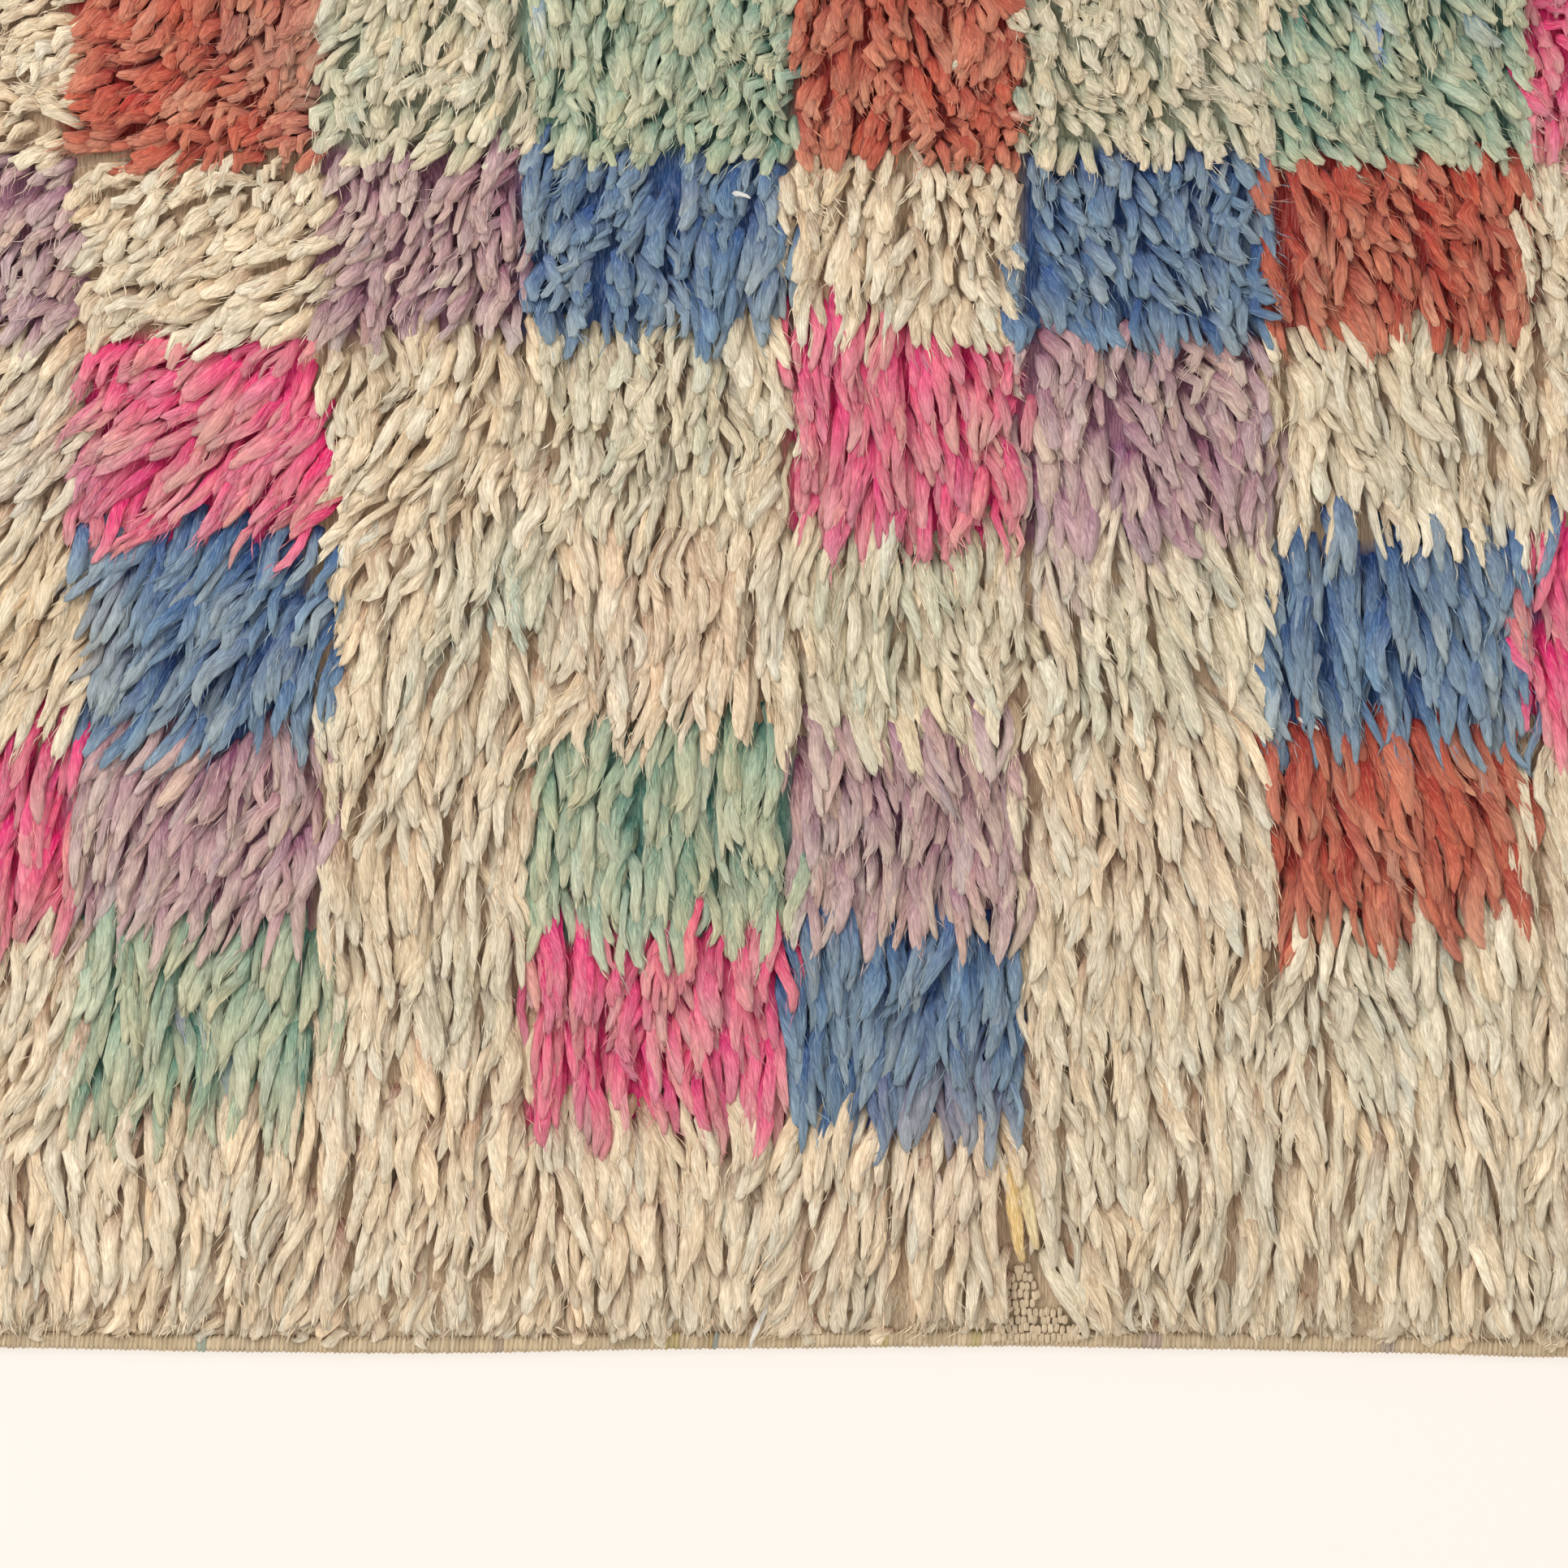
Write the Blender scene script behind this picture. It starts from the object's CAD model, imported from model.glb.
# Hand-knotted shag rug seen from straight above: woven ground, some eight thousand wool strands, overcast edge
import math

import bmesh
import bpy
import numpy as np
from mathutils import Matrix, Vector, noise
from mathutils.bvhtree import BVHTree


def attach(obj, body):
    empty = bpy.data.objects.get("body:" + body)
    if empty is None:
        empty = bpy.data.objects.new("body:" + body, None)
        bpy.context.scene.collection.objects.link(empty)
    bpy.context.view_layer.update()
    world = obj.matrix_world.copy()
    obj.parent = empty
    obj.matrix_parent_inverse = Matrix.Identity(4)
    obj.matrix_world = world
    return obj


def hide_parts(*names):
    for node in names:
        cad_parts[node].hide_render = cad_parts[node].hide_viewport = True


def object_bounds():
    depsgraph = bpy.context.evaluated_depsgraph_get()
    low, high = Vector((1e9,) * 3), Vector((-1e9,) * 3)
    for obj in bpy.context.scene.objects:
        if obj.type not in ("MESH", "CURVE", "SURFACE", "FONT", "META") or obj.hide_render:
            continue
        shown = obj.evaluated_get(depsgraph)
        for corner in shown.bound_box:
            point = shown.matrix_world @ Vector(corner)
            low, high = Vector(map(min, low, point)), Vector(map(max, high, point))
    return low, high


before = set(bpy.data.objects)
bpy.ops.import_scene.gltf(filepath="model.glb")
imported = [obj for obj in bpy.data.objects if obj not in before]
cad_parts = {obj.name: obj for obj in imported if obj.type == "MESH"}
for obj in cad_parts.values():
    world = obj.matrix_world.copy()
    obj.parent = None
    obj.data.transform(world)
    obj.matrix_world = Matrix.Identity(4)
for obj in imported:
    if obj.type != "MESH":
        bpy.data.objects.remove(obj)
cadLow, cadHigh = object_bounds()
draw = np.random.default_rng(21)
bpy.context.scene.view_settings.view_transform = "Standard"
print("frame loaded")

# The photograph: straight down on the front half of the rug, its width running past both sides
photo = {
    "metresPerPixel": 0.0004,
    "centreLinePx": 986.25,  # the rug's middle from left to right
    "middlePy": 594.0,  # the rug's middle from front to back
    "sizePx": 1932,
    "planeHeight": 0.005,  # height at which the scale holds
    "lens": 180.0,
}


def fromPhoto(px, py):
    # the place on the rug that a pixel of the photograph shows
    scale = photo["metresPerPixel"]
    return (px - photo["centreLinePx"]) * scale, (photo["middlePy"] - py) * scale


def addCamera():
    x, y = fromPhoto(photo["sizePx"] / 2, photo["sizePx"] / 2)
    width = photo["sizePx"] * photo["metresPerPixel"]
    bpy.ops.object.camera_add(location=(x, y, 0.0), rotation=(0, 0, 0))
    camera = bpy.context.object
    camera.name = "photoCamera"
    camera.data.lens = photo["lens"]
    camera.location.z = photo["planeHeight"] + width * photo["lens"] / camera.data.sensor_width
    bpy.context.scene.camera = camera


addCamera()
print("camera set")

# Dyed squares, of the same sizes and in the same order as in the rug's solid
squares = {
    "widths": [0.123, 0.122, 0.104, 0.130, 0.114, 0.124, 0.126, 0.124],
    "lengths": [0.102, 0.093, 0.097, 0.100, 0.102, 0.090, 0.094, 0.094, 0.092],
    # ridges of knots across each square
    "ridges": [6, 6, 5, 7, 6, 6, 6, 6],
    # rows from the front end to the back, squares from left to right
    "dyes": [
        ["cream", "cream", "cream", "cream", "cream", "cream", "cream", "cream"],
        ["cream", "sage", "cream", "pink", "blue", "cream", "cream", "cream"],
        ["pink", "mauve", "cream", "sage", "mauve", "cream", "terracotta", "cream"],
        ["cream", "blue", "cream", "cream", "cream", "cream", "blue", "pink"],
        ["cream", "pink", "cream", "cream", "pink", "mauve", "cream", "cream"],
        ["mauve", "cream", "mauve", "blue", "cream", "blue", "terracotta", "cream"],
        ["cream", "terracotta", "paleSage", "sage", "terracotta", "paleSage", "sage", "pink"],
        ["blue", "cream", "terracotta", "cream", "sage", "pink", "mauve", "cream"],
        ["cream", "cream", "cream", "cream", "cream", "cream", "cream", "cream"],
    ],
    # how far the pile of each square is combed aside, in degrees from straight towards the front,
    # to the left below zero
    "combing": [
        [-6, -8, -10, -4, -8, 2, 4, 0],
        [-8, -8, -3, 2, -10, 2, 4, 2],
        [-16, -22, -6, 0, -6, 4, 10, 6],
        [-24, -30, -10, -3, 4, 12, 16, 16],
        [-36, -42, -26, -8, 4, 18, 6, 6],
        [-46, -52, -24, -6, -4, 30, 20, 8],
        [-74, -66, -20, -18, -2, 18, 28, 14],
        [-60, -30, 10, -10, 5, 15, 20, 10],
        [-30, -10, 0, -5, 0, 5, 10, 10],
    ],
    # how upright the pile of each row stands, from 0, lying flat, to 1
    "standing": [0.02, 0.04, 0.08, 0.15, 0.28, 0.50, 0.76, 0.72, 0.50],
}

# Wool colours as sRGB hex: the unfaded root, the body of a fresh strand and its tip, and the wool once faded
dyes = {
    "cream": {"root": "a0785c", "body": "dcc5a4", "tip": "e2cfb0", "faded": "e8dac0"},
    "paleSage": {"root": "6f8676", "body": "c6be9e", "tip": "d8cbb0", "faded": "e2d4ba"},
    "sage": {"root": "1f6b64", "body": "86a48e", "tip": "b8bc9f", "faded": "cdc8aa"},
    "blue": {"root": "1f4380", "body": "42628c", "tip": "778fa3", "faded": "a0abae"},
    "mauve": {"root": "7c3a62", "body": "a67c88", "tip": "c5a5a2", "faded": "d3bfad"},
    "pink": {"root": "e0046c", "body": "e23c7a", "tip": "db7e90", "faded": "daa59b"},
    "terracotta": {"root": "8c101c", "body": "ac4034", "tip": "c0664f", "faded": "d09478"},
}

# Bleeds, stains and odd tufts, placed by eye: pixel, radius, colour of the wool and of its roots, strength
stains = [
    {"px": 610, "py": 770, "radius": 85, "wool": "8fb5a8", "root": "2f7f80", "strength": 0.45},
    {"px": 500, "py": 880, "radius": 45, "wool": "7fb0a8", "root": "2f7f80", "strength": 0.45},
    {"px": 560, "py": 1260, "radius": 80, "wool": "a9b8a4", "root": "5c7c74", "strength": 0.35},
    {"px": 1250, "py": 1470, "radius": 22, "wool": "dcb35a", "root": "b08030", "strength": 0.80},
    {"px": 1160, "py": 1450, "radius": 90, "wool": "d9a898", "root": "9a4a40", "strength": 0.30},
    {"px": 1690, "py": 1280, "radius": 100, "wool": "a5c4bc", "root": "6a9a94", "strength": 0.45},
    {"px": 1820, "py": 1230, "radius": 50, "wool": "a5c4bc", "root": "6a9a94", "strength": 0.35},
    {"px": 1110, "py": 800, "radius": 140, "wool": "b9bfa4", "root": "6f7f60", "strength": 0.50},
    {"px": 800, "py": 540, "radius": 140, "wool": "b4bda2", "root": "5f7a68", "strength": 0.50},
    {"px": 1420, "py": 820, "radius": 140, "wool": "bcc4ae", "root": "6f8878", "strength": 0.45},
    {"px": 40, "py": 820, "radius": 90, "wool": "dcbf96", "root": "9a7a50", "strength": 0.50},
    {"px": 810, "py": 810, "radius": 130, "wool": "e0bfa2", "root": "9a7058", "strength": 0.50},
    {"px": 1420, "py": 1060, "radius": 130, "wool": "dcc2a6", "root": "9a7058", "strength": 0.45},
    {"px": 520, "py": 560, "radius": 120, "wool": "d8bd97", "root": "94744c", "strength": 0.50},
    {"px": 30, "py": 580, "radius": 90, "wool": "b3a8a8", "root": "6a6068", "strength": 0.45},
    {"px": 1310, "py": 740, "radius": 50, "wool": "b391a0", "root": "8a4a78", "strength": 0.45},
    {"px": 1400, "py": 660, "radius": 90, "wool": "b89aa4", "root": "8a3a78", "strength": 0.40},
    {"px": 1740, "py": 560, "radius": 140, "wool": "cfc8ae", "root": "7f7f60", "strength": 0.40},
    {"px": 235, "py": 1310, "radius": 20, "wool": "4a72b8", "root": "2a52a0", "strength": 0.75},
    {"px": 270, "py": 1372, "radius": 16, "wool": "4a72b8", "root": "2a52a0", "strength": 0.60},
    {"px": 165, "py": 125, "radius": 18, "wool": "b01224", "root": "900a1c", "strength": 0.90},
    {"px": 1700, "py": 58, "radius": 16, "wool": "5f86c4", "root": "2f56a4", "strength": 0.80},
    {"px": 1830, "py": 52, "radius": 14, "wool": "5f86c4", "root": "2f56a4", "strength": 0.80},
    {"px": 1600, "py": 24, "radius": 16, "wool": "d8406a", "root": "b8204a", "strength": 0.70},
    {"px": 655, "py": 46, "radius": 16, "wool": "5f86c4", "root": "2f56a4", "strength": 0.60},
    {"px": 300, "py": 50, "radius": 40, "wool": "a08078", "root": "6a5050", "strength": 0.45},
    {"px": 420, "py": 100, "radius": 90, "wool": "c9cdb4", "root": "4f8a84", "strength": 0.40},
    {"px": 300, "py": 1540, "radius": 330, "wool": "eed6b4", "root": "93594a", "strength": 0.66},
    {"px": 900, "py": 1540, "radius": 300, "wool": "edd4b2", "root": "93594a", "strength": 0.66},
    {"px": 1650, "py": 1480, "radius": 280, "wool": "e8d6b6", "root": "a27c60", "strength": 0.60},
]


def linearColour(hexText):
    # sRGB hex to linear red, green and blue
    values = np.array([int(hexText[i:i + 2], 16) for i in (0, 2, 4)]) / 255.0
    return np.where(values <= 0.04045, values / 12.92, ((values + 0.055) / 1.055) ** 2.4)


def squareLines(sizes):
    return np.cumsum([-sum(sizes) / 2] + list(sizes))


columnLines = squareLines(squares["widths"])
rowLines = squareLines(squares["lengths"])
columnCentres = (columnLines[:-1] + columnLines[1:]) / 2
rowCentres = (rowLines[:-1] + rowLines[1:]) / 2


def blendChart(chart, x, y):
    # a chart's value, blended between the centres of its squares
    chart = np.array(chart, float)
    column = np.interp(x, columnCentres, np.arange(len(columnCentres)))
    row = np.interp(y, rowCentres, np.arange(len(rowCentres)))
    left = np.minimum(column.astype(int), len(columnCentres) - 2)
    low = np.minimum(row.astype(int), len(rowCentres) - 2)
    a = column - left
    b = row - low
    near = chart[low, left] * (1 - a) + chart[low, left + 1] * a
    far = chart[low + 1, left] * (1 - a) + chart[low + 1, left + 1] * a
    return near * (1 - b) + far * b


def noiseAt(x, y, size, layer):
    # smooth noise, about -0.7 to 0.7, with lumps of that size in metres
    return np.array([noise.noise(Vector((a / size, b / size, layer * 7.31))) for a, b in zip(x, y)])


def smoothStep(share):
    share = np.clip(share, 0.0, 1.0)
    return share * share * (3 - 2 * share)


# Outline of the rug and the height of its pile, read from its solids
sides = ["front", "back", "left", "right"]


def readOutline(side):
    # places along a side, and how far out the overcast edge reaches there
    points = np.array([v.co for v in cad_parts["edge_" + side].data.vertices])
    alongAxis = 0 if side in ("front", "back") else 1
    along = np.round(points[:, alongAxis], 4)
    across = points[:, 1 - alongAxis]
    outermost = np.min if side in ("front", "left") else np.max
    places = np.unique(along)
    return places, np.array([outermost(across[along == place]) for place in places])


outlines = {side: readOutline(side) for side in sides}


def edgeDistance(x, y):
    # how far inside each side's outline a place lies
    return {
        "front": y - np.interp(x, *outlines["front"]),
        "back": np.interp(x, *outlines["back"]) - y,
        "left": x - np.interp(y, *outlines["left"]),
        "right": np.interp(y, *outlines["right"]) - x,
    }


def insideBy(x, y):
    return np.min(list(edgeDistance(x, y).values()), axis=0)


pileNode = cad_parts["knotted_pile"]
pileTree = BVHTree.FromPolygons(
    [v.co for v in pileNode.data.vertices], [p.vertices for p in pileNode.data.polygons]
)
solidRidge = 0.010  # distance from a ridge of the solid to the groove beside it
rimHeight = 0.0115  # height of the tips that hang past the solid


def solidTop(x, y):
    heights = np.empty(len(x))
    for i, (a, b) in enumerate(zip(x, y)):
        hit = pileTree.ray_cast(Vector((a, b, cadHigh.z + 0.01)), Vector((0, 0, -1)))[0]
        heights[i] = max(hit.z, rimHeight) if hit else rimHeight
    return heights


def pileTop(x, y):
    # the solid's height with its own ridges levelled out
    return (solidTop(x - solidRidge / 2, y) + solidTop(x + solidRidge / 2, y)) / 2


# One strand of each kind is modelled once, upright, one unit long and wide, and then copied along curves
strandShapes = {
    "lying": {
        "sides": 4,
        "heights": [0.0, 0.28, 0.48, 0.66, 0.83, 0.95],
        "widths": [0.85, 1.00, 1.04, 1.00, 0.84, 0.50],
    },
    "upright": {"sides": 4, "heights": [0.0, 0.42, 0.70, 0.93], "widths": [0.85, 1.00, 1.04, 0.74]},
    "knot": {"sides": 6, "heights": [0.0, 0.2, 0.5, 0.8], "widths": [0.5, 0.92, 1.0, 0.86]},
}


def selectWhere(obj, test):
    # selects the vertices whose place passes a test
    mesh = bmesh.from_edit_mesh(obj.data)
    for vert in mesh.verts:
        vert.select = bool(test(vert.co))
    mesh.select_flush_mode()
    bmesh.update_edit_mesh(obj.data)


def modelStrand(name, shape):
    bpy.ops.object.select_all(action="DESELECT")
    top = shape["heights"][-1]
    bpy.ops.mesh.primitive_cylinder_add(
        vertices=shape["sides"], radius=0.5, depth=top, end_fill_type="NGON", location=(0, 0, top / 2)
    )
    strand = bpy.context.object
    strand.name = name
    bpy.ops.object.transform_apply(location=True, rotation=True, scale=True)
    bpy.ops.object.mode_set(mode="EDIT")
    bpy.ops.mesh.select_mode(type="VERT")
    for height in shape["heights"][1:-1]:
        bpy.ops.mesh.select_all(action="SELECT")
        bpy.ops.mesh.bisect(plane_co=(0, 0, height), plane_no=(0, 0, 1))
    for height, width in zip(shape["heights"], shape["widths"]):
        selectWhere(strand, lambda co: abs(co.z - height) < 0.001)
        bpy.ops.transform.resize(value=(width, width, 1), center_override=(0, 0, height))
    selectWhere(strand, lambda co: abs(co.z - top) < 0.001)
    bpy.ops.mesh.poke()
    selectWhere(strand, lambda co: abs(co.x) + abs(co.y) < 0.001 and abs(co.z - top) < 0.001)
    bpy.ops.transform.translate(value=(0, 0, 1 - top))
    bpy.ops.object.mode_set(mode="OBJECT")
    return readMaster(strand)


def modelWisp():
    # a three-sided spindle, pointed at both ends
    bpy.ops.object.select_all(action="DESELECT")
    bpy.ops.mesh.primitive_cone_add(vertices=3, radius1=0.5, radius2=0, depth=0.5, location=(0, 0, 0.75))
    wisp = bpy.context.object
    bpy.ops.object.transform_apply(location=True, rotation=True, scale=True)
    bpy.ops.object.mode_set(mode="EDIT")
    bpy.ops.mesh.select_mode(type="VERT")
    selectWhere(wisp, lambda co: abs(co.z - 0.5) < 0.001)
    bpy.ops.mesh.poke()
    selectWhere(wisp, lambda co: math.hypot(co.x, co.y) < 0.001 and co.z < 0.6)
    bpy.ops.transform.translate(value=(0, 0, -0.5))
    bpy.ops.object.mode_set(mode="OBJECT")
    return readMaster(wisp)


def readMaster(obj):
    # the mesh of a master as arrays, after which the master itself is deleted
    mesh = obj.data
    points = np.empty(len(mesh.vertices) * 3)
    mesh.vertices.foreach_get("co", points)
    points = points.reshape(-1, 3)
    corners = np.empty(len(mesh.loops), int)
    mesh.loops.foreach_get("vertex_index", corners)
    sizes = np.empty(len(mesh.polygons), int)
    mesh.polygons.foreach_get("loop_total", sizes)
    around = (np.arctan2(points[:, 1], points[:, 0]) / (2 * math.pi) % 1.0)[corners]
    onAxis = (np.hypot(points[:, 0], points[:, 1]) < 0.001)[corners]
    start = 0
    for size in sizes:
        face = np.arange(start, start + size)
        rim = face[~onAxis[face]]
        if np.ptp(around[rim]) > 0.5:
            around[rim] += around[rim] < 0.5
        around[face[onAxis[face]]] = around[rim].mean()
        start += size
    bpy.data.objects.remove(obj, do_unlink=True)
    return {"points": points, "corners": corners, "sizes": sizes, "around": around / around.max()}


masters = {name: modelStrand(name, shape) for name, shape in strandShapes.items()}
masters["wisp"] = modelWisp()
print("strand masters modelled")


def unitVectors(vectors):
    return vectors / np.maximum(np.linalg.norm(vectors, axis=-1, keepdims=True), 1e-9)


def followCurve(curve, shares):
    # places and directions on each strand's cubic curve, at the given shares of it
    a, b, c, d = (curve[:, None, i, :] for i in range(4))
    t = shares[..., None]
    place = (1 - t) ** 3 * a + 3 * (1 - t) ** 2 * t * b + 3 * (1 - t) * t * t * c + t ** 3 * d
    slope = (1 - t) ** 2 * (b - a) + 2 * (1 - t) * t * (c - b) + t * t * (d - c)
    return place, unitVectors(slope)


def strandFrame(strands, shares):
    # the same with each strand's wave, and with the directions to its side and to its upper face
    curve = strands["curve"]
    place, along = followCurve(curve, shares)
    heading = curve[:, 3, :] - curve[:, 0, :]
    side = unitVectors(np.stack([-heading[:, 1], heading[:, 0], np.zeros(len(curve))], axis=1))[:, None, :]
    side = unitVectors(side - along * np.sum(side * along, axis=2, keepdims=True))
    if "wave" in strands:
        swing = np.sin(shares * 8.0 + strands["phase"][:, None]) * smoothStep(shares * 2)
        place = place + side * (strands["wave"][:, None] * swing)[..., None]
    return place, along, side, np.cross(along, side)


lowestYarn = 0.0006  # nothing reaches lower than this over the floor


def copyMaster(master, strands):
    # bends one copy of a master along each strand's curve, twisted as it was spun
    local = master["points"]
    count = len(strands["curve"])

    def value(name, usual=0.0):
        return np.broadcast_to(strands.get(name, usual), count)[:, None]

    shares = np.repeat(local[None, :, 2], count, axis=0)
    place, along, side, up = strandFrame(strands, shares)
    turn = value("turn") + value("twist") * shares
    width = value("width") * (1 + draw.uniform(-1, 1, shares.shape) * value("rough"))
    x = (local[None, :, 0] * np.cos(turn) - local[None, :, 1] * np.sin(turn)) * width
    y = (local[None, :, 0] * np.sin(turn) + local[None, :, 1] * np.cos(turn)) * width * value("flat", 1.0)
    points = place + side * x[..., None] + up * y[..., None]
    points[..., 2] = np.maximum(points[..., 2], lowestYarn)
    angle = np.arctan2(local[:, 1], local[:, 0])
    marks = np.empty(points.shape)
    marks[..., 0] = np.cos(angle)[None, :]
    marks[..., 1] = np.sin(angle)[None, :]
    marks[..., 2] = shares * value("length") * 100 + value("seed")
    return {"master": master, "points": points, "marks": marks, "shares": shares}


# how far the upper normals of wool lean to straight up, or to the strand under it, as light spreads through it
softness = {"strand": 0.56, "wisp": 0.50}
straightUp = np.array([0.0, 0.0, 1.0])


def softenNormals(mesh, towards, share):
    normals = np.empty(len(mesh.vertices) * 3, np.float32)
    mesh.vertex_normals.foreach_get("vector", normals)
    normals = normals.reshape(-1, 3)
    lean = share * smoothStep((normals[:, 2:] + 0.4) / 0.8)
    normals = unitVectors(normals * (1 - lean) + towards * lean)
    mesh.normals_split_custom_set_from_vertices(normals.tolist())


def windsInward(mesh):
    # whether the faces of a closed mesh point inwards
    copied = bmesh.new()
    copied.from_mesh(mesh)
    volume = copied.calc_volume(signed=True)
    copied.free()
    return volume < 0


def joinedMesh(name, groups, share=softness["strand"]):
    # one mesh from groups of copies, with its colours, its places along the yarn and a map for baking
    total = sum(len(group["points"]) for group in groups)
    cellsAcross = math.ceil(math.sqrt(total))
    corners, sizes, maps = [], [], []
    firstPoint = 0
    firstCell = 0
    for group in groups:
        master = group["master"]
        count, perCopy = group["points"].shape[:2]
        starts = firstPoint + np.arange(count) * perCopy
        corners.append((starts[:, None] + master["corners"][None, :]).ravel())
        sizes.append(np.tile(master["sizes"], count))
        cells = firstCell + np.arange(count)
        u = (cells % cellsAcross)[:, None] + 0.05 + 0.9 * master["around"][None, :]
        v = (cells // cellsAcross)[:, None] + 0.05 + 0.9 * master["points"][master["corners"], 2][None, :]
        maps.append(np.stack([u, v], axis=2).reshape(-1, 2) / cellsAcross)
        firstPoint += count * perCopy
        firstCell += count
    points = np.concatenate([group["points"].reshape(-1, 3) for group in groups])
    marks = np.concatenate([group["marks"].reshape(-1, 3) for group in groups])
    colours = np.concatenate([group["colours"].reshape(-1, 3) for group in groups])
    corners = np.concatenate(corners)
    sizes = np.concatenate(sizes)
    mesh = bpy.data.meshes.new(name)
    mesh.vertices.add(len(points))
    mesh.vertices.foreach_set("co", points.ravel().astype(np.float32))
    mesh.loops.add(len(corners))
    mesh.loops.foreach_set("vertex_index", corners.astype(np.int32))
    mesh.polygons.add(len(sizes))
    mesh.polygons.foreach_set("loop_start", (np.cumsum(sizes) - sizes).astype(np.int32))
    mesh.update(calc_edges=True)
    places = mesh.attributes.new("yarnPlace", "FLOAT_VECTOR", "POINT")
    places.data.foreach_set("vector", marks.ravel().astype(np.float32))
    tints = mesh.attributes.new("yarnColour", "FLOAT_COLOR", "POINT")
    rgba = np.ones((len(points), 4), np.float32)
    rgba[:, :3] = np.clip(colours, 0, 1)
    tints.data.foreach_set("color", rgba.ravel())
    layer = mesh.uv_layers.new(name="OFBake")
    layer.uv.foreach_set("vector", np.concatenate(maps).ravel().astype(np.float32))
    mesh.polygons.foreach_set("use_smooth", np.ones(len(sizes), bool))
    if windsInward(mesh):
        mesh.flip_normals()
    leans = [np.broadcast_to(group.get("towards", straightUp), group["points"].shape) for group in groups]
    softenNormals(mesh, np.concatenate([lean.reshape(-1, 3) for lean in leans]), share)
    obj = bpy.data.objects.new(name, mesh)
    bpy.context.collection.objects.link(obj)
    return obj


# Shader groups that every wool shares
def groupSockets(tree, inputs, outputs):
    for name, kind, value in inputs:
        socket = tree.interface.new_socket(name, in_out="INPUT", socket_type=kind)
        if value is not None:
            socket.default_value = value
    for name, kind in outputs:
        tree.interface.new_socket(name, in_out="OUTPUT", socket_type=kind)


def mathNode(tree, operation, first, second):
    node = tree.nodes.new("ShaderNodeMath")
    node.operation = operation
    for socket, value in zip(node.inputs, (first, second)):
        if isinstance(value, (int, float)):
            socket.default_value = value
        else:
            tree.links.new(value, socket)
    return node.outputs[0]


def stretchedNoise(tree, vector, scale, detail):
    stretch = tree.nodes.new("ShaderNodeMapping")
    stretch.inputs["Scale"].default_value = scale
    tree.links.new(vector, stretch.inputs["Vector"])
    fibre = tree.nodes.new("ShaderNodeTexNoise")
    fibre.inputs["Scale"].default_value = 1.0
    fibre.inputs["Detail"].default_value = detail
    tree.links.new(stretch.outputs["Vector"], fibre.inputs["Vector"])
    return fibre.outputs["Fac"]


def remap(tree, value, low, high, toLow, toHigh):
    node = tree.nodes.new("ShaderNodeMapRange")
    node.inputs["From Min"].default_value = low
    node.inputs["From Max"].default_value = high
    node.inputs["To Min"].default_value = toLow
    node.inputs["To Max"].default_value = toHigh
    tree.links.new(value, node.inputs["Value"])
    return node.outputs["Result"]


def makeFibreGroup():
    # spun fibres that wind round the yarn: how light, how pale and how high each point is
    tree = bpy.data.node_groups.new("spunFibres", "ShaderNodeTree")
    groupSockets(tree, [("Place", "NodeSocketVector", None), ("Wind", "NodeSocketFloat", 0.8)],
                 [("Shade", "NodeSocketFloat"), ("Pale", "NodeSocketFloat"), ("Height", "NodeSocketFloat")])
    inside = tree.nodes.new("NodeGroupInput")
    outside = tree.nodes.new("NodeGroupOutput")
    parts = tree.nodes.new("ShaderNodeSeparateXYZ")
    tree.links.new(inside.outputs["Place"], parts.inputs[0])
    wind = tree.nodes.new("ShaderNodeVectorRotate")
    wind.rotation_type = "Z_AXIS"
    tree.links.new(inside.outputs["Place"], wind.inputs["Vector"])
    tree.links.new(mathNode(tree, "MULTIPLY", parts.outputs["Z"], inside.outputs["Wind"]), wind.inputs["Angle"])
    fine = stretchedNoise(tree, wind.outputs["Vector"], (6.0, 6.0, 1.2), 3.0)
    coarse = stretchedNoise(tree, wind.outputs["Vector"], (2.0, 2.0, 0.8), 1.0)
    fineShare = mathNode(tree, "MULTIPLY", fine, 0.7)
    both = mathNode(tree, "ADD", fineShare, mathNode(tree, "MULTIPLY", coarse, 0.3))
    tree.links.new(remap(tree, both, 0.36, 0.64, 0.70, 1.22), outside.inputs["Shade"])
    tree.links.new(remap(tree, fine, 0.46, 0.72, 0.0, 1.0), outside.inputs["Pale"])
    tree.links.new(both, outside.inputs["Height"])
    return tree


fibreGroup = makeFibreGroup()


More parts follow.
